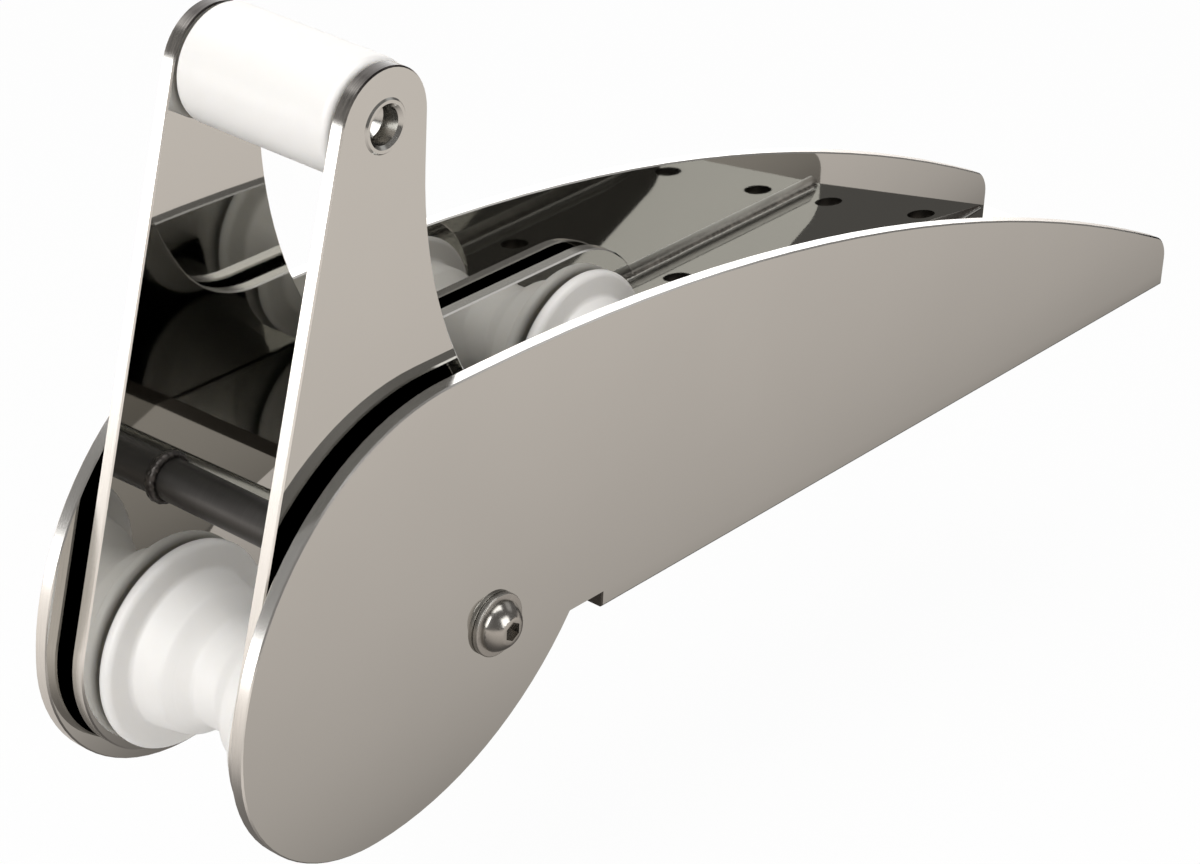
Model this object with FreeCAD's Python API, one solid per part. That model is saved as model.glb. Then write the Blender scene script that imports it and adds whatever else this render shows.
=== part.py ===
import FreeCAD, Part
import math
import os

# Tilting bow roller: two upright cheeks welded on a deck plate carry a rocking cradle with three rollers.
# Millimetres. +X is forward to the bow, +Y to port, +Z up. The origin is the middle of the deck bolt
# pattern, on the underside of the deck plate. Side outlines are drawn from the pivot bolt's axis.

# Frame: cheeks and deck plate
frame_width = 90.0
plate_thickness = 5.0
deck_thickness = 6.0
pivot_ahead = 328.0
pivot_height = 17.5
tail_reach = 397.0
tail_corner_radius = 12.0
tail_upright = 5.7
deck_front_reach = 54.0
cheek_heel_reach = 38.0
crest_height = 94.0
crest_start = 9.0
crest_end = 23.0
nose_reach = 113.5
nose_level = -3.0
chin_ahead = 53.0
chin_depth = 58.0
edge_break = 0.5

# Deck bolts
bolt_spacing_x = 100.0
bolt_spacing_y = 45.0
bolt_hole = 11.0
deck_weld_leg = 3.0
deck_weld_margin = 8.0

# Cradle side plates
cradle_width = 73.0
cradle_plate = 5.0
front_lobe_radius = 40.3
front_lobe_rise = 2.5
rear_lobe_radius = 38.5
rear_corner_radius = 8.0
arm_end_radius = 18.2
arm_back_straight = 18.0
arm_back_radius = 150.0
arm_root_radius = 43.0
cradle_heel_reach = 46.0
rest_gap = 0.3

# Rollers: places from the pivot axis, and sizes
front_ahead, front_up = 66.0, -9.7
rear_ahead, rear_up = -126.0, 22.5
top_ahead, top_up = 46.9, 183.3
roller_length = 61.0
front_flange = 35.5
rear_flange = 32.0
flange_height = 8.5
flange_rim = 5.0
flange_slope = 1.3
drum_width = 11.2
drum_fall = 1.8
groove_depth = 6.0
groove_slope = 8.0
top_radius = 19.0
rim_round = 2.4
root_round = 2.0
shoulder_round = 5.0

# Roller axles: pins drilled at both ends, whose rims are flared into the side plates
axle_outer = 15.0
axle_hole = 12.0
axle_hole_depth = 7.0
drill_point = 118.0
axle_flare = 17.4
axle_proud = 0.6
axle_sink = 1.2
axle_mouth = 1.1
running_gap = 0.05

# Keeper bar across the cradle
bar_ahead, bar_up = 69.0, 50.5
bar_diameter = 14.0
bar_wall = 1.5
bar_weld = 2.5
weld_crown = 0.6

# Pivot
bolt_diameter = 10.0
bolt_clearance = 0.1
head_diameter = 17.5
head_height = 5.5
head_rim = 1.0
head_top = 9.0
socket_flats = 6.0
socket_depth = 3.2
washer_outer = 22.0
washer_bore = 10.5
washer_thickness = 2.0
washer_round = 0.5
nut_flats = 17.0
nut_height = 8.0
nut_face = 16.0
nut_chamfer = 30.0
collar_height = 2.5
collar_diameter = 14.6
bolt_beyond_nut = 2.0
sleeve_outer = 16.0
spacer_outer = 30.0
spacer_gap = 0.3

# Cutting tools reach this far past a face, and lengths this close count as equal
overshoot = 1.0
closeness = 0.01

half_width = frame_width / 2
cheek_inner = half_width - plate_thickness
cradle_outer = cradle_width / 2
cradle_inner = cradle_outer - cradle_plate


def at(ahead, up, across=0.0):
    """A point given ahead of and above the pivot axis, and across to port."""
    return FreeCAD.Vector(pivot_ahead + ahead, across, pivot_height + up)


def line(a, b):
    return Part.LineSegment(a, b).toShape()


def arc(centre, radius, start, end):
    """An arc in the side view, between two angles in degrees measured from ahead towards up."""
    middle = (start + end) / 2
    spots = []
    for angle in (start, middle, end):
        turn = math.radians(angle)
        spots.append(centre + FreeCAD.Vector(radius * math.cos(turn), 0, radius * math.sin(turn)))
    return Part.Arc(*spots).toShape()


def quarter(centre, along, up, start):
    """A quarter of an ellipse in the side view, from the given angle of 0, 90, 180 or 270 degrees."""
    spread = FreeCAD.Vector(along, 0, 0)
    rise = FreeCAD.Vector(0, 0, up)
    a = math.radians(start)
    if along >= up:
        curve = Part.Ellipse(centre + spread, centre + rise, centre)
        first = a
    else:
        curve = Part.Ellipse(centre + rise, centre - spread, centre)
        first = a - math.pi / 2
    return curve.toShape(first, first + math.pi / 2)


def plate(edges, port_face, thickness):
    """A flat plate with the given outline, its port side at port_face."""
    wire = Part.Wire(Part.__sortEdges__(edges))
    face = Part.Face(wire)
    face.translate(FreeCAD.Vector(0, port_face, 0))
    return face.extrude(FreeCAD.Vector(0, -thickness, 0))


def cross_cylinder(ahead, up, diameter, port_face, length):
    """A cylinder that lies across, from port_face to starboard."""
    return Part.makeCylinder(diameter / 2, length, at(ahead, up, port_face), FreeCAD.Vector(0, -1, 0))


def ring(ahead, up, outer, bore, port_face, length):
    body = cross_cylinder(ahead, up, outer, port_face, length)
    return body.cut(cross_cylinder(ahead, up, bore, port_face + overshoot, length + 2 * overshoot))


def mirrored(shape):
    return shape.mirror(FreeCAD.Vector(0, 0, 0), FreeCAD.Vector(0, 1, 0))


def broken_edges(shape, amount, seam=None):
    """The plate with its two outlines chamfered, apart from a level edge at the height of a seam."""
    picked = []
    for face in shape.Faces:
        if abs(face.normalAt(0, 0).y) > 0.99 and face.Surface.TypeId == "Part::GeomPlane":
            for edge in face.OuterWire.Edges:
                level = edge.BoundBox.ZLength < closeness
                if seam is None or not level or abs(edge.CenterOfMass.z - seam) > closeness:
                    picked.append(edge)
    return shape.makeChamfer(amount, picked)


# Cheek outline
def cheek():
    base = deck_thickness - pivot_height
    tail = -tail_reach
    corner = at(tail + tail_corner_radius, base + tail_upright)
    fall = at(crest_start, crest_height) - corner
    crest_radius = (fall.Length**2 - tail_corner_radius**2) / (2 * (fall.z - tail_corner_radius))
    crest_centre = at(crest_start, crest_height - crest_radius)
    crest_angle = math.degrees(math.atan2(corner.z - crest_centre.z, corner.x - crest_centre.x))
    chin = at(chin_ahead, -chin_depth)
    heel = at(-cheek_heel_reach, base)
    run = chin.x - heel.x
    rise = heel.z - chin.z
    belly_radius = (run**2 + rise**2) / (2 * rise)
    belly_centre = chin + FreeCAD.Vector(0, 0, belly_radius)
    heel_angle = math.degrees(math.atan2(heel.z - belly_centre.z, heel.x - belly_centre.x))
    if heel_angle > 0:
        heel_angle = heel_angle - 360
    edges = [
        line(heel, at(tail, base)),
        line(at(tail, base), corner + FreeCAD.Vector(-tail_corner_radius, 0, 0)),
        arc(corner, tail_corner_radius, 180, crest_angle),
        arc(crest_centre, crest_radius, crest_angle, 90),
        line(at(crest_start, crest_height), at(crest_end, crest_height)),
        quarter(at(crest_end, nose_level), nose_reach - crest_end, crest_height - nose_level, 0),
        quarter(at(chin_ahead, nose_level), nose_reach - chin_ahead, chin_depth + nose_level, 270),
        arc(belly_centre, belly_radius, -90, heel_angle),
    ]
    body = broken_edges(plate(edges, half_width, plate_thickness), edge_break, deck_thickness)
    hole = bolt_diameter + 2 * bolt_clearance
    return body.cut(cross_cylinder(0, 0, hole, half_width + overshoot, plate_thickness + 2 * overshoot))


# Deck plate with its four bolt holes
def deck_plate():
    length = tail_reach - deck_front_reach
    body = Part.makeBox(length, frame_width, deck_thickness, at(-tail_reach, -pivot_height, -half_width))
    corners = [edge for edge in body.Edges if edge.BoundBox.ZLength > deck_thickness / 2]
    body = body.makeChamfer(edge_break, corners)
    long_edges = []
    for edge in body.Edges:
        middle = edge.CenterOfMass
        if abs(abs(middle.y) - half_width) < closeness and middle.z < closeness:
            long_edges.append(edge)
    body = body.makeFillet(edge_break * 2, long_edges)
    for side_x in (-1, 1):
        for side_y in (-1, 1):
            spot = FreeCAD.Vector(side_x * bolt_spacing_x / 2, side_y * bolt_spacing_y / 2, -overshoot)
            body = body.cut(Part.makeCylinder(bolt_hole / 2, deck_thickness + 2 * overshoot, spot))
    return body


# Fillet weld along the inside corner of a cheek and the deck plate
def deck_weld():
    start = pivot_ahead - tail_reach + deck_weld_margin
    end = pivot_ahead - deck_front_reach - deck_weld_margin
    corner = FreeCAD.Vector(start, cheek_inner, deck_thickness)
    foot = corner + FreeCAD.Vector(0, -deck_weld_leg, 0)
    top = corner + FreeCAD.Vector(0, 0, deck_weld_leg)
    crown = corner + FreeCAD.Vector(0, -deck_weld_leg * weld_crown, deck_weld_leg * weld_crown)
    edges = [line(corner, foot), Part.Arc(foot, crown, top).toShape(), line(top, corner)]
    section = Part.Face(Part.Wire(Part.__sortEdges__(edges)))
    return section.extrude(FreeCAD.Vector(end - start, 0, 0))


# Cradle side plate outline
def cradle_plate_shape():
    base = deck_thickness - pivot_height + rest_gap
    top = at(top_ahead, top_up)
    front = at(front_ahead, front_up + front_lobe_rise)
    rear = at(rear_ahead, rear_up)
    rear_top = rear.z + rear_lobe_radius
    step = front - top
    lean = math.asin((front_lobe_radius - arm_end_radius) / step.Length)
    front_normal = math.degrees(math.atan2(step.z, step.x) + math.pi / 2 + lean)
    heel = at(-cradle_heel_reach, base)
    away = heel - front
    spread = math.degrees(math.acos(front_lobe_radius / away.Length))
    heel_angle = math.degrees(math.atan2(away.z, away.x)) + spread
    if heel_angle > 0:
        heel_angle = heel_angle - 360
    corner = at(rear_ahead - rear_lobe_radius + rear_corner_radius, base + rear_corner_radius)
    back = at(top_ahead - arm_end_radius, top_up - arm_back_straight)
    back_centre = back + FreeCAD.Vector(-arm_back_radius, 0, 0)
    root_z = rear_top + arm_root_radius
    gap = arm_back_radius - arm_root_radius
    root_x = back_centre.x + math.sqrt(gap**2 - (back_centre.z - root_z) ** 2)
    root = FreeCAD.Vector(root_x, 0, root_z)
    root_angle = math.degrees(math.atan2(root.z - back_centre.z, root.x - back_centre.x))
    front_touch = arc(front, front_lobe_radius, front_normal, heel_angle)
    edges = [
        arc(top, arm_end_radius, front_normal, 180),
        line(arc_end(top, arm_end_radius, front_normal), arc_end(front, front_lobe_radius, front_normal)),
        front_touch,
        line(arc_end(front, front_lobe_radius, heel_angle), heel),
        line(heel, arc_end(corner, rear_corner_radius, 270)),
        arc(corner, rear_corner_radius, 270, 180),
        line(arc_end(corner, rear_corner_radius, 180), arc_end(rear, rear_lobe_radius, 180)),
        arc(rear, rear_lobe_radius, 180, 90),
        line(arc_end(rear, rear_lobe_radius, 90), arc_end(root, arm_root_radius, 270)),
        arc(root, arm_root_radius, 270, 360 + root_angle),
        arc(back_centre, arm_back_radius, root_angle, 0),
        line(back, arc_end(top, arm_end_radius, 180)),
    ]
    body = broken_edges(plate(edges, cradle_outer, cradle_plate), edge_break)
    sleeve_hole = sleeve_outer + 2 * running_gap
    body = body.cut(cross_cylinder(0, 0, sleeve_hole, cradle_outer + overshoot, cradle_plate + 2 * overshoot))
    for ahead, up in ((front_ahead, front_up), (rear_ahead, rear_up), (top_ahead, top_up)):
        body = body.cut(axle_solid(ahead, up))
    return body


def arc_end(centre, radius, angle):
    turn = math.radians(angle)
    return centre + FreeCAD.Vector(radius * math.cos(turn), 0, radius * math.sin(turn))


# Roller axle: a pin whose drilled ends are flared into the countersunk side plates
def axle_solid(ahead, up):
    half = cradle_outer + axle_proud
    tube = axle_outer / 2
    flare = axle_flare / 2
    sink = cradle_outer - axle_sink
    spots = [
        FreeCAD.Vector(0, -half, 0),
        FreeCAD.Vector(flare - axle_proud, -half, 0),
        FreeCAD.Vector(flare, -cradle_outer, 0),
        FreeCAD.Vector(tube, -sink, 0),
        FreeCAD.Vector(tube, sink, 0),
        FreeCAD.Vector(flare, cradle_outer, 0),
        FreeCAD.Vector(flare - axle_proud, half, 0),
        FreeCAD.Vector(0, half, 0),
    ]
    return turned(spots, ahead, up)


def turned(spots, ahead, up):
    """A solid of revolution about an axis across, from points given as radius and distance to port."""
    wire = Part.makePolygon(spots + [spots[0]])
    body = Part.Face(wire).revolve(FreeCAD.Vector(0, 0, 0), FreeCAD.Vector(0, 1, 0), 360)
    body.translate(at(ahead, up))
    return body


def axle(ahead, up):
    half = cradle_outer + axle_proud
    hole = axle_hole / 2
    point = hole / math.tan(math.radians(drill_point / 2))
    body = axle_solid(ahead, up)
    for side in (-1, 1):
        spots = [
            FreeCAD.Vector(0, side * half, 0),
            FreeCAD.Vector(hole + axle_mouth, side * half, 0),
            FreeCAD.Vector(hole, side * (half - axle_mouth), 0),
            FreeCAD.Vector(hole, side * (half - axle_hole_depth), 0),
            FreeCAD.Vector(0, side * (half - axle_hole_depth - point), 0),
        ]
        body = body.cut(turned(spots, ahead, up))
    return body


def circles(body, radii):
    """The circular edges of a body that have one of the given radii."""
    picked = []
    for edge in body.Edges:
        if edge.Curve.TypeId == "Part::GeomCircle":
            for radius in radii:
                if abs(edge.Curve.Radius - radius) < closeness:
                    picked.append(edge)
    return picked


# Flanged roller: rounded flanges, a drum that falls a little to the middle, and a groove for the chain
def flanged_roller(ahead, up, flange):
    half = roller_length / 2
    rim = half - flange_rim
    root = rim - flange_slope
    shoulder = root - drum_width
    middle = shoulder - groove_slope
    bore = axle_outer / 2 + running_gap
    drum = flange - flange_height
    brink = drum - drum_fall
    groove = brink - groove_depth
    port_half = [(bore, half), (flange, half), (flange, rim), (drum, root), (brink, shoulder), (groove, middle)]
    spots = []
    for radius, across in port_half:
        spots.append(FreeCAD.Vector(radius, across, 0))
    for radius, across in reversed(port_half):
        spots.append(FreeCAD.Vector(radius, -across, 0))
    wire = Part.makePolygon(spots + [spots[0]])
    body = Part.Face(wire).revolve(FreeCAD.Vector(0, 0, 0), FreeCAD.Vector(0, 1, 0), 360)
    body = body.makeFillet(rim_round, circles(body, (flange,)))
    body = body.makeFillet(root_round, circles(body, (drum,)))
    body = body.makeFillet(shoulder_round, circles(body, (brink, groove)))
    body.translate(at(ahead, up))
    return body


def plain_roller(ahead, up, radius):
    body = cross_cylinder(0, 0, 2 * radius, roller_length / 2, roller_length)
    body = body.makeFillet(rim_round, circles(body, (radius,)))
    body.translate(FreeCAD.Vector(ahead, 0, up))
    bore = axle_outer + 2 * running_gap
    return body.cut(cross_cylinder(ahead, up, bore, roller_length / 2 + overshoot, roller_length + 2 * overshoot))


# Keeper bar, a tube between the side plates, and its ring welds
def keeper_bar():
    return ring(bar_ahead, bar_up, bar_diameter, bar_diameter - 2 * bar_wall, cradle_inner, 2 * cradle_inner)


def bar_weld_ring():
    inner = bar_diameter / 2
    corner = FreeCAD.Vector(inner, cradle_inner, 0)
    along = corner + FreeCAD.Vector(0, -bar_weld, 0)
    out = corner + FreeCAD.Vector(bar_weld, 0, 0)
    crown = corner + FreeCAD.Vector(bar_weld * weld_crown, -bar_weld * weld_crown, 0)
    edges = [line(corner, along), Part.Arc(along, crown, out).toShape(), line(out, corner)]
    body = Part.Face(Part.Wire(edges)).revolve(FreeCAD.Vector(0, 0, 0), FreeCAD.Vector(0, 1, 0), 360)
    body.translate(at(bar_ahead, bar_up))
    return body


# Pivot bolt with a domed socket head to port, and a lock nut to starboard
def pivot_bolt():
    seat = half_width + washer_thickness
    tip = half_width + washer_thickness + nut_height + bolt_beyond_nut
    shank = cross_cylinder(0, 0, bolt_diameter, seat, seat + tip)
    radius = head_diameter / 2
    top = head_top / 2
    centre = (head_height**2 + top**2 - head_rim**2 - radius**2) / (2 * (head_height - head_rim))
    ball = Part.makeSphere(math.hypot(radius, head_rim - centre), at(0, 0, seat + centre))
    blank = cross_cylinder(0, 0, head_diameter, seat + head_height, head_height)
    head = ball.common(blank)
    socket = hexagon(socket_flats, seat + head_height, socket_depth)
    return head.fuse(shank).cut(socket).removeSplitter()


def hexagon(flats, port_face, length):
    spots = []
    for step in range(7):
        turn = math.radians(60 * step + 30)
        spots.append(at(flats / math.sqrt(3) * math.cos(turn), flats / math.sqrt(3) * math.sin(turn), port_face))
    return Part.Face(Part.makePolygon(spots)).extrude(FreeCAD.Vector(0, -length, 0))


def washer(port_face):
    body = ring(0, 0, washer_outer, washer_bore, port_face, washer_thickness)
    return body.makeFillet(washer_round, circles(body, (washer_outer / 2,)))


def pivot_nut():
    face = -half_width - washer_thickness
    flats_end = face - nut_height + collar_height
    corner = nut_flats / math.sqrt(3)
    slope = (corner - nut_face / 2) * math.tan(math.radians(nut_chamfer))
    spots = [
        FreeCAD.Vector(0, face, 0),
        FreeCAD.Vector(nut_face / 2, face, 0),
        FreeCAD.Vector(corner, face - slope, 0),
        FreeCAD.Vector(corner, flats_end + slope, 0),
        FreeCAD.Vector(nut_face / 2, flats_end, 0),
        FreeCAD.Vector(0, flats_end, 0),
    ]
    flats = hexagon(nut_flats, face, nut_height - collar_height).common(turned(spots, 0, 0))
    collar = cross_cylinder(0, 0, collar_diameter, flats_end, collar_height)
    return flats.fuse(collar).cut(cross_cylinder(0, 0, bolt_diameter, face + overshoot, nut_height + 2 * overshoot))


def sleeve():
    return ring(0, 0, sleeve_outer, bolt_diameter + 2 * bolt_clearance, cheek_inner, 2 * cheek_inner)


def spacer():
    thickness = cheek_inner - cradle_outer - spacer_gap
    return ring(0, 0, spacer_outer, sleeve_outer, cheek_inner, thickness)


port_cheek = cheek()
port_weld = deck_weld()
port_side = cradle_plate_shape()
parts = {
    "port_cheek": port_cheek,
    "starboard_cheek": mirrored(port_cheek),
    "deck_plate": deck_plate(),
    "port_deck_weld": port_weld,
    "starboard_deck_weld": mirrored(port_weld),
    "cradle_port_plate": port_side,
    "cradle_starboard_plate": mirrored(port_side),
    "keeper_bar": keeper_bar(),
    "port_bar_weld": bar_weld_ring(),
    "starboard_bar_weld": mirrored(bar_weld_ring()),
    "front_roller": flanged_roller(front_ahead, front_up, front_flange),
    "rear_roller": flanged_roller(rear_ahead, rear_up, rear_flange),
    "top_roller": plain_roller(top_ahead, top_up, top_radius),
    "front_axle": axle(front_ahead, front_up),
    "rear_axle": axle(rear_ahead, rear_up),
    "top_axle": axle(top_ahead, top_up),
    "pivot_bolt": pivot_bolt(),
    "pivot_nut": pivot_nut(),
    "port_washer": washer(half_width + washer_thickness),
    "starboard_washer": washer(-half_width),
    "pivot_sleeve": sleeve(),
    "port_spacer": spacer(),
    "starboard_spacer": mirrored(spacer()),
}

os.makedirs("parts", exist_ok=True)
for name, shape in parts.items():
    shape.exportStep("parts/" + name + ".step")
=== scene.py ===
import math

import bmesh
import bpy
from mathutils import Matrix, Vector


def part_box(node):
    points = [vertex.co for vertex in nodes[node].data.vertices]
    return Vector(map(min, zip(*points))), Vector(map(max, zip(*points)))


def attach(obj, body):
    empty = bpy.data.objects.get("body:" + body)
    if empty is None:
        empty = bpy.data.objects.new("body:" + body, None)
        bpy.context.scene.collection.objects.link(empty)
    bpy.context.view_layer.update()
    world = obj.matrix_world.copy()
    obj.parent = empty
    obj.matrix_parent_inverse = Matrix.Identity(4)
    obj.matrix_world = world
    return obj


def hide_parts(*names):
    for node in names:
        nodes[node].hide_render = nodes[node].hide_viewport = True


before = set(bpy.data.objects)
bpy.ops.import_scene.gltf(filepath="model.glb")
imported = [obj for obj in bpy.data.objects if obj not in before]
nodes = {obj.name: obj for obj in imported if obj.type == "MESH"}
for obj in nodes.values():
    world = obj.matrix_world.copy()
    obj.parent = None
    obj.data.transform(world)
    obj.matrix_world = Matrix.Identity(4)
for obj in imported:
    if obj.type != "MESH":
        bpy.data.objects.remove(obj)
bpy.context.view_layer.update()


# The two cheeks and the deck plate: 5 and 6 mm 316 stainless plate, laser cut and mirror polished. Their
# faces reflect the room like a slightly wavy mirror. The cheeks' edges are only linished, so they stay
# rougher and catch more light; their colour is also painted lighter than the faces' steel, which is a
# painted highlight. The ends of the deck plate stay as cut, dark and dull. The grain of the edges is
# drawn coarser than it is, so that it shows.
POLISHED_316 = "#BFBEBA"
# Linished edge colour: lighter than the polished steel, a painted highlight on top of its rougher finish.
LINISHED_EDGE_AND_HIGHLIGHT = "#ECEAE6"
LASER_CUT = "#55524E"
POLISH_ROUGHNESS = 0.025
EDGE_ROUGHNESS = 0.22
CUT_ROUGHNESS = 0.4
FACE_FROM = 0.8
FACE_TO = 0.97
INNER_FACING = 0.9
SIDE_STEP = 0.0001
HAZE_MM = 60
HAZE_SHADE = 0.94
SHEET_WAVE_MM = 70
SHEET_WAVE_DEPTH_MM = 0.03
LINISH_GRAIN_LENGTH_MM = 10.8
LINISH_GRAIN_WIDTH_MM = 0.5832
LINISH_SHADES = (0.82, 1.05)
# Arm ends: a coarser hand-ground grain, under a darker colour that is painted shade, darkest at the top of
# the round.
GROUND_EDGE_AND_SHADE = "#B0ACA7"
PAINTED_SHADE_TOP = "#4A4745"
GROUND_SHADES = (0.1, 1.9)
GROUND_START = 0.002
SHADE_CROWN = (0.005, 0.012)


def linear(code):
    """An sRGB hex colour as linear red, green, blue and alpha."""
    channels = []
    for start in (1, 3, 5):
        value = int(code[start:start + 2], 16) / 255
        channels.append(value / 12.92 if value <= 0.04045 else ((value + 0.055) / 1.055) ** 2.4)
    return (*channels, 1.0)


def add(tree, kind, settings=None, links=None):
    """Adds one node. settings are its properties or its sockets' values, links what feeds its sockets."""
    node = tree.nodes.new(kind)
    for name, value in (settings or {}).items():
        if isinstance(name, int) or name in node.inputs:
            node.inputs[name].default_value = value
        else:
            setattr(node, name, value)
    for name, source in (links or {}).items():
        tree.links.new(source, node.inputs[name])
    return node


def new_material(name):
    """An empty node material with its output, and the tree to build in."""
    material = bpy.data.materials.new(name)
    material.use_nodes = True
    tree = material.node_tree
    tree.nodes.clear()
    return material, tree, tree.nodes.new("ShaderNodeOutputMaterial")


def reaches(tree, socket, low, high):
    """0 where the size of a value is under low, rising to 1 where it is over high."""
    size = add(tree, "ShaderNodeMath", {"operation": "ABSOLUTE"}, {0: socket})
    step = add(tree, "ShaderNodeMapRange", {"From Min": low, "From Max": high}, {"Value": size.outputs[0]})
    return step.outputs[0]


def tinted(tree, colour, value, low, high):
    """A colour made darker and lighter by a pattern."""
    shade = add(tree, "ShaderNodeMapRange", {"To Min": low, "To Max": high}, {"Value": value})
    mix = add(tree, "ShaderNodeMix", {"data_type": "RGBA", "blend_type": "MULTIPLY", "Factor": 1.0},
              {7: shade.outputs[0]})
    if isinstance(colour, str):
        mix.inputs[6].default_value = linear(colour)
    else:
        tree.links.new(colour, mix.inputs[6])
    return mix.outputs[2]


def polished_plate(name, thin_axis, edge_colour, edge_roughness, polished_sides=None, inner_side=0,
                   lean_up=0.0, lean_aft=0.0, ground_above=None):
    """Mirror-polished plate with duller edges. Its sides are polished too where they lie further out than
    polished_sides. On the face that looks to inner_side the polish follows the plate's slight bow, which
    leans its reflections. Edges above ground_above were rounded off by hand and carry a coarser grain; there
    the colour is also darker, and darkest at the top of the round, which is painted shade."""
    material, tree, output = new_material(name)
    coords = add(tree, "ShaderNodeTexCoord")
    place = coords.outputs["Object"]
    where = add(tree, "ShaderNodeSeparateXYZ", links={0: place})
    normal = add(tree, "ShaderNodeSeparateXYZ", links={0: coords.outputs["Normal"]})
    flat = reaches(tree, normal.outputs[thin_axis], FACE_FROM, FACE_TO)
    if polished_sides:
        facing = reaches(tree, normal.outputs["Y"], FACE_FROM, FACE_TO)
        outside = reaches(tree, where.outputs["Y"], polished_sides, polished_sides + SIDE_STEP)
        both = add(tree, "ShaderNodeMath", {"operation": "MINIMUM"}, {0: facing, 1: outside})
        either = add(tree, "ShaderNodeMath", {"operation": "MAXIMUM"}, {0: flat, 1: both.outputs[0]})
        flat = either.outputs[0]

    haze = add(tree, "ShaderNodeTexNoise", {"Scale": 1000 / HAZE_MM, "Detail": 3.0}, {"Vector": place})
    polish = tinted(tree, POLISHED_316, haze.outputs["Fac"], HAZE_SHADE, 1.0)
    squeeze = LINISH_GRAIN_LENGTH_MM / LINISH_GRAIN_WIDTH_MM
    grain_place = add(tree, "ShaderNodeMapping", {"Scale": (1, squeeze, 1)}, {"Vector": place})
    grain = add(tree, "ShaderNodeTexNoise",
                {"Scale": 1000 / LINISH_GRAIN_LENGTH_MM, "Detail": 5.0, "Roughness": 0.7},
                {"Vector": grain_place.outputs[0]})
    edge = tinted(tree, edge_colour, grain.outputs["Fac"], *LINISH_SHADES)
    if ground_above is not None:
        ground = add(tree, "ShaderNodeMapRange",
                     {"From Min": ground_above, "From Max": ground_above + GROUND_START},
                     {"Value": where.outputs["Z"]})
        # Painted shade: the colour darkens towards the top of the round.
        shade_crown = add(tree, "ShaderNodeMapRange",
                    {"From Min": ground_above + SHADE_CROWN[0], "From Max": ground_above + SHADE_CROWN[1]},
                    {"Value": where.outputs["Z"]})
        rubbed_and_shaded = add(tree, "ShaderNodeMix",
                     {"data_type": "RGBA", 6: linear(GROUND_EDGE_AND_SHADE), 7: linear(PAINTED_SHADE_TOP)},
                     {"Factor": shade_crown.outputs[0]})
        ground_and_shaded = tinted(tree, rubbed_and_shaded.outputs[2], grain.outputs["Fac"], *GROUND_SHADES)
        edge = add(tree, "ShaderNodeMix", {"data_type": "RGBA"},
                   {"Factor": ground.outputs[0], 6: edge, 7: ground_and_shaded}).outputs[2]
    colour = add(tree, "ShaderNodeMix", {"data_type": "RGBA"}, {"Factor": flat, 6: edge, 7: polish})
    rough = add(tree, "ShaderNodeMapRange", {"To Min": edge_roughness, "To Max": POLISH_ROUGHNESS},
                {"Value": flat})

    wave = add(tree, "ShaderNodeTexNoise", {"Scale": 1000 / SHEET_WAVE_MM, "Detail": 1.0},
               {"Vector": place})
    wave_bump = add(tree, "ShaderNodeBump", {"Distance": SHEET_WAVE_DEPTH_MM / 1000},
                    {"Height": wave.outputs["Fac"]})
    surface = wave_bump.outputs[0]
    if inner_side:
        rise = add(tree, "ShaderNodeMath", {"operation": "MULTIPLY", 1: -lean_up}, {0: where.outputs["Z"]})
        bow = add(tree, "ShaderNodeMath", {"operation": "MULTIPLY_ADD", 1: lean_aft},
                  {0: where.outputs["X"], 2: rise.outputs[0]})
        bow_bump = add(tree, "ShaderNodeBump", {"Distance": 1.0},
                       {"Height": bow.outputs[0], "Normal": surface})
        side = add(tree, "ShaderNodeMath", {"operation": "MULTIPLY", 1: float(inner_side)},
                   {0: normal.outputs["Y"]})
        inner = add(tree, "ShaderNodeMath", {"operation": "GREATER_THAN", 1: INNER_FACING},
                    {0: side.outputs[0]})
        surface = add(tree, "ShaderNodeMix", {"data_type": "VECTOR"},
                      {"Factor": inner.outputs[0], 4: surface, 5: bow_bump.outputs[0]}).outputs[1]

    shader = add(tree, "ShaderNodeBsdfPrincipled", {"Metallic": 1.0},
                 {"Base Color": colour.outputs[2], "Roughness": rough.outputs[0], "Normal": surface})
    tree.links.new(shader.outputs[0], output.inputs["Surface"])
    return material


def dress(name, material, sharp_angle):
    """Gives a CAD node its material, and smooths its curved faces up to a sharp angle in degrees."""
    part = nodes[name]
    part.data.materials.clear()
    part.data.materials.append(material)
    for face in part.data.polygons:
        face.use_smooth = True
    weld = part.modifiers.new("join", "WELD")
    weld.merge_threshold = 1e-6
    split = part.modifiers.new("keep sharp edges", "EDGE_SPLIT")
    split.split_angle = math.radians(sharp_angle)


PLATE_SHARP_ANGLE = 20
FAR_CHEEK_BOW = 0.09
FAR_CHEEK_SPLAY = 0.033
NEAR_CHEEK_BOW = -0.03
DECK_SIDE = 0.039
dress("port_cheek", polished_plate("mirror polished 316, port cheek", "Y", LINISHED_EDGE_AND_HIGHLIGHT, EDGE_ROUGHNESS,
                                   inner_side=-1, lean_up=NEAR_CHEEK_BOW), PLATE_SHARP_ANGLE)
dress("starboard_cheek", polished_plate("mirror polished 316, starboard cheek", "Y", LINISHED_EDGE_AND_HIGHLIGHT,
                                        EDGE_ROUGHNESS, inner_side=1, lean_up=FAR_CHEEK_BOW,
                                        lean_aft=FAR_CHEEK_SPLAY), PLATE_SHARP_ANGLE)
dress("deck_plate", polished_plate("mirror polished 316, deck plate", "Z", LASER_CUT, CUT_ROUGHNESS,
                                   polished_sides=DECK_SIDE), PLATE_SHARP_ANGLE)


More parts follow.
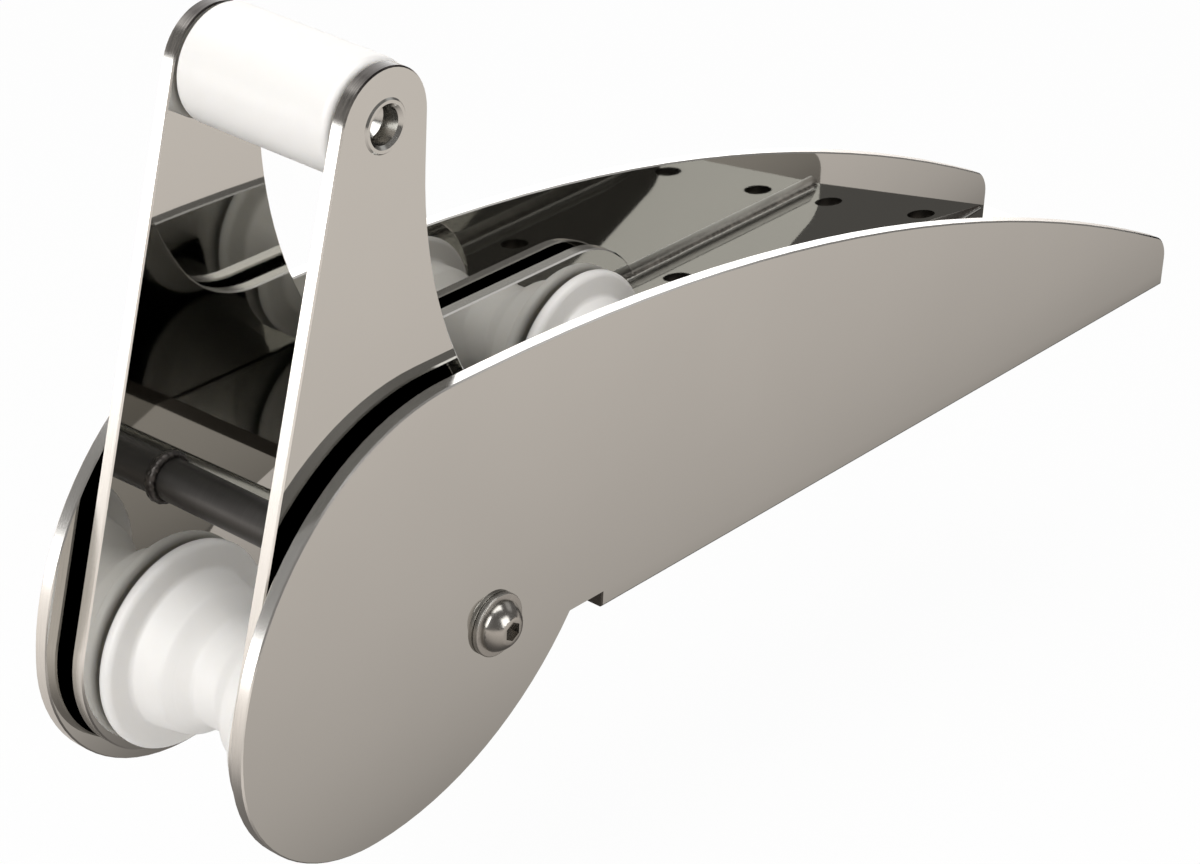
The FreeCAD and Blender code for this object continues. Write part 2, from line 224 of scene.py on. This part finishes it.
# The deck welds: one TIG fillet run in each inner corner. Its sides are ground to a hollow that blends
# into both plates and polished, and the ripples of the filler are left along its middle.
# The starboard weld thins out towards the tail, where the photograph shows no bead over the near crest.
WELD_METAL = "#5F5B57"
WELD_ROUGHNESS = 0.34
WELD_BLEND = (0.0064, 0.0068, 0.0075, 0.012)
WELD_TINT_MM = 2.5
WELD_SHADES = (0.1, 2.2)
PIT_MM = 0.8
PIT_DEPTH_MM = 0.03
RIPPLE_PITCH_MM = 2.8
RIPPLE_DEPTH_MM = 0.7
RIPPLE_LAG_MM = 0.9
RIPPLE_WANDER_MM = (0.25, 0.2)
RIPPLE_WANDER_PER_MM = (0.9, 0.37)
RIPPLE_WANDER_START = 1.3
RIPPLE_SWELL = 0.25
RIPPLE_SWELL_PER_MM = 0.21
RIPPLE_RISE = 0.6
RIPPLE_FALL = 6
RIPPLE_CUTS = 6
HOLLOW_HEIGHT_MM = 6.0
HOLLOW_END_MM = 5.0
RIDGE_PLACE = 0.42
RIDGE_WIDTH = 0.15
RIDGE_HEIGHT_MM = 0.2
BEHIND_MM = 0.5
END_SHARE = 0.4
END_RUN_OUT_MM = 4.0
THIN_SHARE = 0.2
THIN_RUN_OUT_MM = 34.0
BEAD_SPOKES = 24
HOLLOW_SPOKES = 18


def weld_metal(name, metal, roughness, blend=None):
    """Weld filler. blend holds four heights: polished up to the first, dull from the second, and lighter
    from the third to the fourth, where the dull side runs out into the cheek."""
    material, tree, output = new_material(name)
    place = add(tree, "ShaderNodeTexCoord").outputs["Object"]
    pits = add(tree, "ShaderNodeTexNoise", {"Scale": 1000 / PIT_MM, "Detail": 2.0}, {"Vector": place})
    bump = add(tree, "ShaderNodeBump", {"Distance": PIT_DEPTH_MM / 1000}, {"Height": pits.outputs["Fac"]})
    shader = add(tree, "ShaderNodeBsdfPrincipled", {"Metallic": 1.0, "Roughness": roughness},
                 {"Normal": bump.outputs[0]})
    tint = add(tree, "ShaderNodeTexNoise", {"Scale": 1000 / WELD_TINT_MM, "Detail": 3.0}, {"Vector": place})
    colour = tinted(tree, metal, tint.outputs["Fac"], *WELD_SHADES)
    if blend:
        height = add(tree, "ShaderNodeSeparateXYZ", links={0: place}).outputs["Z"]
        below = add(tree, "ShaderNodeMapRange", {"From Min": blend[1], "From Max": blend[0]},
                    {"Value": height})
        above = add(tree, "ShaderNodeMapRange", {"From Min": blend[2], "From Max": blend[3]},
                    {"Value": height})
        lighter = add(tree, "ShaderNodeMath", {"operation": "MAXIMUM"},
                      {0: below.outputs[0], 1: above.outputs[0]})
        colour = add(tree, "ShaderNodeMix", {"data_type": "RGBA", 7: linear(POLISHED_316)},
                     {"Factor": lighter.outputs[0], 6: colour}).outputs[2]
        rough = add(tree, "ShaderNodeMapRange", {"To Min": roughness, "To Max": POLISH_ROUGHNESS},
                    {"Value": below.outputs[0]})
        tree.links.new(rough.outputs[0], shader.inputs["Roughness"])
    tree.links.new(colour, shader.inputs["Base Color"])
    tree.links.new(shader.outputs[0], output.inputs["Surface"])
    return material


DECK_WELD = weld_metal("TIG weld ground hollow, 316 filler", WELD_METAL, WELD_ROUGHNESS, WELD_BLEND)


def finished(bm, name, material, body, replaces):
    """Turns a bmesh into an object in the row frame that rides on a body and stands for CAD nodes."""
    bmesh.ops.recalc_face_normals(bm, faces=bm.faces)
    mesh = bpy.data.meshes.new(name)
    bm.to_mesh(mesh)
    bm.free()
    for face in mesh.polygons:
        face.use_smooth = True
    mesh.materials.append(material)
    piece = bpy.data.objects.new(name, mesh)
    bpy.context.scene.collection.objects.link(piece)
    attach(piece, body)
    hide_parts(*replaces)


def ripple(along_mm, across):
    """Height of the weld's ripples in millimetres: scallops that lag behind towards the bead's edges."""
    wander = RIPPLE_WANDER_MM[0] * math.sin(along_mm * RIPPLE_WANDER_PER_MM[0])
    wander += RIPPLE_WANDER_MM[1] * math.sin(along_mm * RIPPLE_WANDER_PER_MM[1] + RIPPLE_WANDER_START)
    phase = (along_mm + RIPPLE_LAG_MM * across * across + wander) / RIPPLE_PITCH_MM
    saw = phase - math.floor(phase)
    swell = 1 - RIPPLE_SWELL + RIPPLE_SWELL * math.sin(along_mm * RIPPLE_SWELL_PER_MM)
    return RIPPLE_DEPTH_MM * (saw ** RIPPLE_RISE) * (1 - saw ** RIPPLE_FALL) * swell


def deck_bead(node):
    """A hollow corner fillet: a long rod whose spokes are laid along the hollow and then behind it."""
    low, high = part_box(node)
    side = 1 if low.y > 0 else -1
    wall = max(abs(low.y), abs(high.y))
    leg = (high.z - low.z) * 1000
    length = (high.x - low.x) * 1000 + HOLLOW_END_MM
    height = HOLLOW_HEIGHT_MM
    tail_share, run_out = (END_SHARE, END_RUN_OUT_MM) if side > 0 else (THIN_SHARE, THIN_RUN_OUT_MM)
    behind = [(-BEHIND_MM, height), (-BEHIND_MM, height / 2), (-BEHIND_MM, -BEHIND_MM),
              (leg / 2, -BEHIND_MM), (leg, -BEHIND_MM)]
    bm = bmesh.new()
    bmesh.ops.create_cone(bm, cap_ends=True, cap_tris=False, segments=BEAD_SPOKES, radius1=1, radius2=1,
                          depth=length)
    long_edges = []
    for edge in bm.edges:
        if abs(edge.verts[0].co.z - edge.verts[1].co.z) > 1:
            long_edges.append(edge)
    cuts = int(length / RIPPLE_PITCH_MM * RIPPLE_CUTS)
    bmesh.ops.subdivide_edges(bm, edges=long_edges, cuts=cuts, use_grid_fill=True)
    for vert in bm.verts:
        spoke = round(math.atan2(vert.co.y, vert.co.x) / math.tau * BEAD_SPOKES) % BEAD_SPOKES
        along = vert.co.z + length / 2
        tail_taper = tail_share + (1 - tail_share) * along / run_out
        taper = min(1.0, tail_taper, END_SHARE + (1 - END_SHARE) * (length - along) / END_RUN_OUT_MM)
        if spoke <= HOLLOW_SPOKES:
            across = spoke / HOLLOW_SPOKES
            lean = math.hypot(height * across, leg * (1 - across))
            ridge = math.exp(-((across - RIDGE_PLACE) / RIDGE_WIDTH) ** 2)
            lift = ridge * (RIDGE_HEIGHT_MM + ripple(along, (across - RIDGE_PLACE) / RIDGE_WIDTH))
            out = leg * (1 - across) ** 2 + lift * height * across / lean
            up = height * across ** 2 + lift * leg * (1 - across) / lean
        else:
            out, up = behind[spoke - HOLLOW_SPOKES - 1]
        vert.co = (low.x + (along - HOLLOW_END_MM) / 1000, side * (wall - out * taper / 1000),
                   low.z + up * taper / 1000)
    return bm


for node in ("port_deck_weld", "starboard_deck_weld"):
    bead = deck_bead(node)
    finished(bead, node.replace("_weld", "_weld_bead"), DECK_WELD, "frame", [node])


# The tilting cradle's two side plates: the same polished 5 mm plate, cut to one outline.
# Their inner faces mirror each other, which makes the space between them look nearly black.
# Above this height the arm ends are hand ground, and their colour is darkened with painted shade.
ARM_END_START = 0.2055
FAR_PLATE_BOW = 0.012
for name, side, bow in (("cradle_port_plate", -1, 0.0), ("cradle_starboard_plate", 1, FAR_PLATE_BOW)):
    dress(name, polished_plate("mirror polished 316, " + name, "Y", LINISHED_EDGE_AND_HIGHLIGHT, EDGE_ROUGHNESS,
                               inner_side=side, lean_up=bow, ground_above=ARM_END_START), PLATE_SHARP_ANGLE)


# The keeper bar and the roller axles. The bar is drawn 316 tube, left dull, welded between the plates;
# its colour is painted dark, as painted shade from the dark space between the plates.
# The axles are polished 316 pins, drilled at both ends, whose rims are flared into the countersunk
# plates. The pivot sleeve, which the cradle turns on, is polished tube too.
TUBE_STEEL = "#BFBEBA"
TUBE_ROUGHNESS = 0.2
TUBE_LINE_MM = 0.7
TUBE_LINE_SPREAD_MM = 30
TUBE_LINE_DEPTH_MM = 0.01
TUBE_SHADES = (0.88, 1.04)
TURNED_SHARP_ANGLE = 35
# Painted shade: the bar's colour is darkened for the dark space between the plates.
SHADED_BAR_STEEL = "#4C4A48"
BAR_ROUGHNESS = 0.46


def polished_tube(name, steel, roughness):
    """Steel with faint rings round its Y axis, which are drawn coarse enough to show."""
    material, tree, output = new_material(name)
    coords = add(tree, "ShaderNodeTexCoord")
    spread = 1000 / TUBE_LINE_SPREAD_MM
    rings = add(tree, "ShaderNodeMapping", {"Scale": (spread, 1000 / TUBE_LINE_MM, spread)},
                {"Vector": coords.outputs["Object"]})
    lines = add(tree, "ShaderNodeTexNoise", {"Scale": 1.0, "Detail": 3.0}, {"Vector": rings.outputs[0]})
    colour = tinted(tree, steel, lines.outputs["Fac"], *TUBE_SHADES)
    bump = add(tree, "ShaderNodeBump", {"Distance": TUBE_LINE_DEPTH_MM / 1000},
               {"Height": lines.outputs["Fac"]})
    shader = add(tree, "ShaderNodeBsdfPrincipled", {"Metallic": 1.0, "Roughness": roughness},
                 {"Base Color": colour, "Normal": bump.outputs[0]})
    tree.links.new(shader.outputs[0], output.inputs["Surface"])
    return material


AXLE_MATERIAL = polished_tube("polished 316 axle", TUBE_STEEL, TUBE_ROUGHNESS)
for name in ("front_axle", "rear_axle", "top_axle", "pivot_sleeve"):
    dress(name, AXLE_MATERIAL, TURNED_SHARP_ANGLE)
BAR_MATERIAL = polished_tube("drawn 316 tube, unpolished, painted dark with shade", SHADED_BAR_STEEL, BAR_ROUGHNESS)
dress("keeper_bar", BAR_MATERIAL, TURNED_SHARP_ANGLE)


# The bar's two ring welds: a TIG bead run round the bar where it meets each plate.
# Each is a ring of round section with the same scalloped ripples. Its dark grey is partly its dull
# weld skin and partly painted shade of the crevice round the bar.
# Partly the weld's dull skin, partly painted shade of the crevice round the bar.
RING_METAL_AND_CREVICE_SHADE = "#4A4745"
RING_ROUGHNESS = 0.42
BAR_WELD = weld_metal("unpolished TIG weld, 316 filler, crevice shade painted in", RING_METAL_AND_CREVICE_SHADE, RING_ROUGHNESS)
BAR_BEAD_SHARE = 0.5
BAR_BEAD_OFFSET = 0.15
BAR_BEAD_SECTION = 14
BAR_BEAD_STEPS = 140
BAR_RIPPLE_STRETCH = 1.3


def bar_bead(node):
    """A ring of round section spun round the bar, swollen by the ripples and partly sunk in the corner."""
    low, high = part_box(node)
    bar_low, bar_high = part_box("keeper_bar")
    centre = (bar_low + bar_high) / 2
    bar_radius = (bar_high.z - bar_low.z) / 2 * 1000
    outer = (high.z - low.z) / 2 * 1000
    leg = outer - bar_radius
    side = 1 if low.y > 0 else -1
    wall = max(abs(low.y), abs(high.y))
    offset = leg * BAR_BEAD_OFFSET
    core = bar_radius + offset
    bm = bmesh.new()
    ring = bmesh.ops.create_circle(bm, segments=BAR_BEAD_SECTION, radius=leg * BAR_BEAD_SHARE)
    bmesh.ops.rotate(bm, verts=ring["verts"], cent=(0, 0, 0), matrix=Matrix.Rotation(math.pi / 2, 3, "X"))
    bmesh.ops.translate(bm, verts=ring["verts"], vec=(core, 0, 0))
    bmesh.ops.spin(bm, geom=bm.verts[:] + bm.edges[:], cent=(0, 0, 0), axis=(0, 0, 1), dvec=(0, 0, 0),
                   angle=math.tau, steps=BAR_BEAD_STEPS, use_merge=True, use_duplicate=False)
    for vert in bm.verts:
        turn = math.atan2(vert.co.y, vert.co.x)
        out = math.hypot(vert.co.x, vert.co.y) - core
        along = turn * bar_radius * BAR_RIPPLE_STRETCH
        across = math.remainder(math.atan2(vert.co.z, out) - math.pi / 4, math.tau)
        grow = 1 + ripple(along, across) / (leg * BAR_BEAD_SHARE)
        reach = core + out * grow
        lift = vert.co.z * grow
        vert.co = (centre.x + reach * math.cos(turn) / 1000,
                   side * (wall - (offset + lift) / 1000),
                   centre.z + reach * math.sin(turn) / 1000)
    return bm


for node in ("port_bar_weld", "starboard_bar_weld"):
    bead = bar_bead(node)
    finished(bead, node.replace("_weld", "_weld_bead"), BAR_WELD, "cradle", [node])


# The three rollers and the two pivot spacers: white cast nylon, turned on a lathe. It is satin, lets a
# little light in under its surface, and carries faint turning rings, which are drawn coarser than they
# are, so that they show.
CAST_NYLON = "#F2F0ED"
NYLON_IOR = 1.53
NYLON_DEPTH_MM = 4
NYLON_GLOW = (1.0, 0.95, 0.85)
NYLON_ROUGHNESS = 0.38
SCUFF_MM = 25
SCUFF_ROUGHNESS = (-0.06, 0.08)
SCUFF_SHADE = 0.97
TURNING_RING_MM = 0.8
TURNING_SPREAD_MM = 500
TURNING_DEPTH_MM = 0.036


def cast_nylon():
    material, tree, output = new_material("turned white cast nylon")
    coords = add(tree, "ShaderNodeTexCoord")
    place = coords.outputs["Object"]
    spread = 1000 / TURNING_SPREAD_MM
    stretch = add(tree, "ShaderNodeMapping", {"Scale": (spread, 1000 / TURNING_RING_MM, spread)},
                  {"Vector": place})
    rings = add(tree, "ShaderNodeTexNoise", {"Scale": 1.0, "Detail": 2.0}, {"Vector": stretch.outputs[0]})
    bump = add(tree, "ShaderNodeBump", {"Distance": TURNING_DEPTH_MM / 1000},
               {"Height": rings.outputs["Fac"]})
    scuff = add(tree, "ShaderNodeTexNoise", {"Scale": 1000 / SCUFF_MM, "Detail": 4.0}, {"Vector": place})
    rough = add(tree, "ShaderNodeMapRange",
                {"To Min": NYLON_ROUGHNESS + SCUFF_ROUGHNESS[0],
                 "To Max": NYLON_ROUGHNESS + SCUFF_ROUGHNESS[1]},
                {"Value": scuff.outputs["Fac"]})
    colour = tinted(tree, CAST_NYLON, scuff.outputs["Fac"], SCUFF_SHADE, 1.0)
    shader = add(tree, "ShaderNodeBsdfPrincipled",
                 {"Subsurface Weight": 0.25, "Subsurface Scale": NYLON_DEPTH_MM / 1000,
                  "Subsurface Radius": NYLON_GLOW, "IOR": NYLON_IOR},
                 {"Base Color": colour, "Roughness": rough.outputs[0], "Normal": bump.outputs[0]})
    tree.links.new(shader.outputs[0], output.inputs["Surface"])
    return material


NYLON_MATERIAL = cast_nylon()
for name in ("front_roller", "rear_roller", "top_roller", "port_spacer", "starboard_spacer"):
    dress(name, NYLON_MATERIAL, TURNED_SHARP_ANGLE)


# The pivot's hardware: an M10 button-head bolt of A4 stainless, its lock nut and two plain washers.
# The bolt and nut are cold headed and bright. The washers are stamped and tumbled, so they are duller.
FASTENER_STEEL = "#A5A29D"
HEADED_ROUGHNESS = 0.2
TUMBLED_ROUGHNESS = 0.36
MOTTLE_MM = 3
MOTTLE_DEPTH_MM = 0.002
MOTTLE_ROUGHNESS = (-0.07, 0.1)


def fastener_steel(name, roughness):
    material, tree, output = new_material(name)
    coords = add(tree, "ShaderNodeTexCoord")
    mottle = add(tree, "ShaderNodeTexNoise", {"Scale": 1000 / MOTTLE_MM, "Detail": 2.0},
                 {"Vector": coords.outputs["Object"]})
    rough = add(tree, "ShaderNodeMapRange",
                {"To Min": roughness + MOTTLE_ROUGHNESS[0], "To Max": roughness + MOTTLE_ROUGHNESS[1]},
                {"Value": mottle.outputs["Fac"]})
    bump = add(tree, "ShaderNodeBump", {"Distance": MOTTLE_DEPTH_MM / 1000},
               {"Height": mottle.outputs["Fac"]})
    shader = add(tree, "ShaderNodeBsdfPrincipled", {"Metallic": 1.0, "Base Color": linear(FASTENER_STEEL)},
                 {"Roughness": rough.outputs[0], "Normal": bump.outputs[0]})
    tree.links.new(shader.outputs[0], output.inputs["Surface"])
    return material


HEADED_STEEL = fastener_steel("bright cold-headed A4 steel", HEADED_ROUGHNESS)
TUMBLED_STEEL = fastener_steel("tumbled A4 washer steel", TUMBLED_ROUGHNESS)
for name in ("pivot_bolt", "pivot_nut"):
    dress(name, HEADED_STEEL, TURNED_SHARP_ANGLE)
for name in ("port_washer", "starboard_washer"):
    dress(name, TUMBLED_STEEL, TURNED_SHARP_ANGLE)


# The studio: a white table, lower than anything that the cradle reaches when it tips, and soft lamps
# above, ahead and to port. Cards that light nothing stand to starboard and aft, for the polish to show.
TABLE_HEIGHT = -0.135
TABLE_RADIUS = 40
TABLE_WHITE = "#F2F2F2"
TABLE_SELF_WHITE = 0.965
TABLE_IN_POLISH = "#FFF7F0"
TABLE_BOW_GAIN = 0.07
TABLE_SHADE = ((0.0, 0.05), (0.1, 0.22), (0.15, 0.44), (0.18, 0.6), (0.22, 0.71), (0.3, 0.82),
               (0.45, 0.95), (1.0, 1.0))


def white_table():
    """White paint that looks evenly lit to the camera. In the polish it looks a little warm, and dims
    towards the part, where a table just under the cheeks would lie in their shade."""
    material, tree, output = new_material("white studio table")
    path = add(tree, "ShaderNodeLightPath")
    straight = add(tree, "ShaderNodeMath", {"operation": "MAXIMUM"},
                   {0: path.outputs["Is Camera Ray"], 1: path.outputs["Is Transmission Ray"]})
    share = add(tree, "ShaderNodeMath", {"operation": "MULTIPLY", 1: TABLE_SELF_WHITE},
                {0: straight.outputs[0]})
    coords = add(tree, "ShaderNodeTexCoord")
    where = add(tree, "ShaderNodeSeparateXYZ", links={0: coords.outputs["Object"]})
    beside = add(tree, "ShaderNodeMath", {"operation": "ABSOLUTE"}, {0: where.outputs["Y"]})
    reach = add(tree, "ShaderNodeMath", {"operation": "MULTIPLY_ADD", 1: TABLE_BOW_GAIN},
                {0: where.outputs["X"], 2: beside.outputs[0]})
    shade = add(tree, "ShaderNodeFloatCurve", {"Factor": 1.0})
    curve = shade.mapping.curves[0]
    curve.points[0].location = TABLE_SHADE[0]
    curve.points[1].location = TABLE_SHADE[-1]
    for spot in TABLE_SHADE[1:-1]:
        curve.points.new(*spot)
    shade.mapping.update()
    tree.links.new(reach.outputs[0], shade.inputs["Value"])
    paint = add(tree, "ShaderNodeBsdfDiffuse", {"Color": linear(TABLE_WHITE)})
    white = add(tree, "ShaderNodeEmission", {"Color": (1, 1, 1, 1), "Strength": 1.0})
    seen = add(tree, "ShaderNodeMixShader",
               links={0: share.outputs[0], 1: paint.outputs[0], 2: white.outputs[0]})
    warm = add(tree, "ShaderNodeEmission", {"Color": linear(TABLE_IN_POLISH)},
               {"Strength": shade.outputs[0]})
    mix = add(tree, "ShaderNodeMixShader", links={0: path.outputs["Is Glossy Ray"], 1: seen.outputs[0],
                                                  2: warm.outputs[0]})
    tree.links.new(mix.outputs[0], output.inputs["Surface"])
    return material


bm = bmesh.new()
bmesh.ops.create_circle(bm, cap_ends=True, segments=96, radius=TABLE_RADIUS)
table_mesh = bpy.data.meshes.new("table")
bm.to_mesh(table_mesh)
bm.free()
table_mesh.transform(Matrix.Translation((0, 0, TABLE_HEIGHT)))
table_mesh.materials.append(white_table())
table = bpy.data.objects.new("table", table_mesh)
bpy.context.scene.collection.objects.link(table)


def softbox(name, centre, target, width, height, radiance, card=False):
    """A square lamp that faces a target, with its power set for one brightness seen in the polish.
    A card only shows in the polish and lights nothing."""
    lamp = bpy.data.lights.new(name, "AREA")
    lamp.shape = "RECTANGLE"
    lamp.size = width
    lamp.size_y = height
    lamp.energy = radiance * math.pi * width * height
    holder = bpy.data.objects.new(name, lamp)
    centre = Vector(centre)
    aim = (Vector(target) - centre).to_track_quat("-Z", "Y")
    holder.matrix_world = Matrix.Translation(centre) @ aim.to_matrix().to_4x4()
    holder.visible_camera = False
    holder.visible_diffuse = not card
    bpy.context.scene.collection.objects.link(holder)


MIDDLE = (0.18, 0, 0.05)
softbox("overhead softbox", (0.2, 0.1, 1.8), MIDDLE, 1.3, 1.3, 2.8)
softbox("front softbox", (1.9, 0.0, 1.0), MIDDLE, 1.2, 1.5, 3.7)
softbox("port lamp", (0.1, 2.0, 0.75), MIDDLE, 1.2, 1.2, 3.2)
softbox("starboard card", (-1.5, -1.7, 1.25), (-1.5, 0, 1.25), 5.4, 2.6, 1.9, card=True)
softbox("aft card", (-1.6, 0.45, 1.45), MIDDLE, 1.7, 0.8, 0.45, card=True)
softbox("low starboard card", (2.1, -1.15, 0.05), MIDDLE, 2.0, 0.36, 3.4, card=True)

WALL_GREY = "#7C7A78"
world = bpy.data.worlds.new("dark studio")
bpy.context.scene.world = world
world.use_nodes = True
world_tree = world.node_tree
world_tree.nodes.clear()
walls = add(world_tree, "ShaderNodeBackground", {"Color": linear(WALL_GREY), "Strength": 1.0})
add(world_tree, "ShaderNodeOutputWorld", links={0: walls.outputs[0]})


# The camera: a long lens, high on the port bow, as in the photograph.
CAMERA_PLACE = (1.0992, 0.69755, 0.6315)
CAMERA_YAW = math.radians(-141.47)
CAMERA_PITCH = math.radians(-28.28)
CAMERA_ROLL = math.radians(2.97)
CAMERA_LENS_MM = 111.587

forward = Vector((math.cos(CAMERA_PITCH) * math.cos(CAMERA_YAW),
                  math.cos(CAMERA_PITCH) * math.sin(CAMERA_YAW),
                  math.sin(CAMERA_PITCH)))
level = forward.cross(Vector((0, 0, 1))).normalized()
rise = level.cross(forward)
right = level * math.cos(CAMERA_ROLL) + rise * math.sin(CAMERA_ROLL)
up = rise * math.cos(CAMERA_ROLL) - level * math.sin(CAMERA_ROLL)
turn = Matrix((right, up, -forward)).transposed().to_4x4()
lens = bpy.data.cameras.new("camera")
lens.lens = CAMERA_LENS_MM
lens.sensor_width = 36
lens.clip_start = 0.01
camera = bpy.data.objects.new("camera", lens)
camera.matrix_world = Matrix.Translation(CAMERA_PLACE) @ turn
bpy.context.scene.collection.objects.link(camera)
bpy.context.scene.camera = camera
bpy.context.scene.view_settings.view_transform = "Standard"
